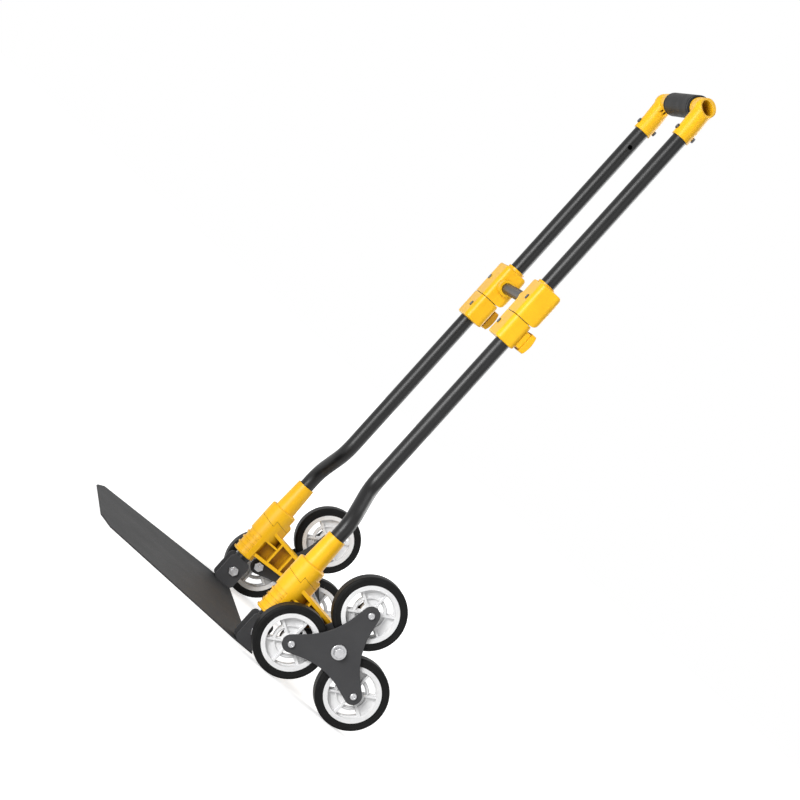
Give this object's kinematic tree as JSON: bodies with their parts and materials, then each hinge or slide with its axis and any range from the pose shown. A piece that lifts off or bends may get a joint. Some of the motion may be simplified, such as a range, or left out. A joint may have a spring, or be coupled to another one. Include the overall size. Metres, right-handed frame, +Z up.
{
  "type": "stair-climbing trolley",
  "caption": "Folding stair-climbing trolley: telescopic tube handle, hinged toe plate and a three-armed wheel cluster on each side.",
  "frame": {"origin": "on the floor, in the middle of the footprint", "axes": "+Z up, -Y to the front where the toe plate lies, +X to the left of a person pushing it"},
  "size_m": [0.4652, 0.437, 0.9612],
  "materials": {
    "yellow_plastic": "satin",
    "tube_paint": "satin",
    "grip_rubber": "matte",
    "plate_paint": "satin",
    "zinc_steel": "zinc plated",
    "dark_steel": "black oxide",
    "hub_plastic": "matte",
    "rim_plastic": "satin",
    "tyre_rubber": "matte"
  },
  "bodies": {
    "frame": {"left_lower_tube": "tube_paint", "right_lower_tube": "tube_paint", "left_clamp_block": "yellow_plastic", "right_clamp_block": "yellow_plastic", "left_tube_socket": "yellow_plastic", "right_tube_socket": "yellow_plastic", "left_wheel_bracket": "yellow_plastic", "right_wheel_bracket": "yellow_plastic", "cross_tube": "tube_paint", "axle": "zinc_steel", "hub_bolts": "zinc_steel", "hub_washers": "zinc_steel", "hinge_bolts": "zinc_steel", "hinge_nuts": "zinc_steel", "clamp_screws": "dark_steel"},
    "handle": {"left_upper_tube": "tube_paint", "right_upper_tube": "tube_paint", "left_elbow": "yellow_plastic", "right_elbow": "yellow_plastic", "left_slider_block": "yellow_plastic", "right_slider_block": "yellow_plastic", "left_brake_spring": "zinc_steel", "right_brake_spring": "zinc_steel", "grip": "grip_rubber", "grip_bar": "tube_paint", "elbow_screws": "dark_steel", "elbow_nuts": "dark_steel", "slider_screws": "dark_steel"},
    "left_knob": {"left_release_knob": "yellow_plastic", "left_brake_pin": "zinc_steel"},
    "right_knob": {"right_release_knob": "yellow_plastic", "right_brake_pin": "zinc_steel"},
    "toe_plate_group": {"toe_plate": "plate_paint", "bracket_rivets": "zinc_steel", "left_hinge_bracket": "plate_paint", "right_hinge_bracket": "plate_paint"},
    "left_cluster": {"left_outer_plate": "plate_paint", "left_inner_plate": "plate_paint", "left_cluster_hub": "hub_plastic", "left_wheel_bolts": "zinc_steel", "left_wheel_nuts": "zinc_steel", "left_wheel_sleeves": "zinc_steel"},
    "left_top_wheel": {"left_top_rim": "rim_plastic", "left_top_tyre": "tyre_rubber"},
    "left_front_wheel": {"left_front_rim": "rim_plastic", "left_front_tyre": "tyre_rubber"},
    "left_rear_wheel": {"left_rear_rim": "rim_plastic", "left_rear_tyre": "tyre_rubber"},
    "right_cluster": {"right_outer_plate": "plate_paint", "right_inner_plate": "plate_paint", "right_cluster_hub": "hub_plastic", "right_wheel_bolts": "zinc_steel", "right_wheel_nuts": "zinc_steel", "right_wheel_sleeves": "zinc_steel"},
    "right_top_wheel": {"right_top_rim": "rim_plastic", "right_top_tyre": "tyre_rubber"},
    "right_front_wheel": {"right_front_rim": "rim_plastic", "right_front_tyre": "tyre_rubber"},
    "right_rear_wheel": {"right_rear_rim": "rim_plastic", "right_rear_tyre": "tyre_rubber"}
  },
  "joints": [
    {"name": "handle_slide", "type": "slide", "parent": "frame", "child": "handle", "axis": [0, 0, 1], "range_m": [-0.24, 0]},
    {"name": "toe_plate_fold", "type": "hinge", "parent": "frame", "child": "toe_plate_group", "pos_m": [0, 0.0245, 0.026], "axis": [-1, 0, 0], "range_deg": [0, 90]},
    {"name": "left_release_pull", "type": "slide", "parent": "handle", "child": "left_knob", "axis": [0, 1, 0], "range_m": [0, 0.0045], "stiffness_N_per_m": 800, "springref_m": -0.003, "deforming": ["left_brake_spring"]},
    {"name": "left_cluster_spin", "type": "hinge", "parent": "frame", "child": "left_cluster", "pos_m": [0.208, 0.1135, 0.08175], "axis": [1, 0, 0], "continuous": true},
    {"name": "left_top_wheel_spin", "type": "hinge", "parent": "left_cluster", "child": "left_top_wheel", "pos_m": [0.208, 0.1135, 0.14525], "axis": [1, 0, 0], "continuous": true},
    {"name": "left_front_wheel_spin", "type": "hinge", "parent": "left_cluster", "child": "left_front_wheel", "pos_m": [0.208, 0.05851, 0.05], "axis": [1, 0, 0], "continuous": true},
    {"name": "left_rear_wheel_spin", "type": "hinge", "parent": "left_cluster", "child": "left_rear_wheel", "pos_m": [0.208, 0.1685, 0.05], "axis": [1, 0, 0], "continuous": true},
    {"name": "right_release_pull", "type": "slide", "parent": "handle", "child": "right_knob", "axis": [0, 1, 0], "range_m": [0, 0.0045], "stiffness_N_per_m": 800, "springref_m": -0.003, "deforming": ["right_brake_spring"]},
    {"name": "right_cluster_spin", "type": "hinge", "parent": "frame", "child": "right_cluster", "pos_m": [-0.208, 0.1135, 0.08175], "axis": [1, 0, 0], "continuous": true},
    {"name": "right_top_wheel_spin", "type": "hinge", "parent": "right_cluster", "child": "right_top_wheel", "pos_m": [-0.208, 0.1135, 0.14525], "axis": [1, 0, 0], "continuous": true},
    {"name": "right_front_wheel_spin", "type": "hinge", "parent": "right_cluster", "child": "right_front_wheel", "pos_m": [-0.208, 0.05851, 0.05], "axis": [1, 0, 0], "continuous": true},
    {"name": "right_rear_wheel_spin", "type": "hinge", "parent": "right_cluster", "child": "right_rear_wheel", "pos_m": [-0.208, 0.1685, 0.05], "axis": [1, 0, 0], "continuous": true}
  ]
}
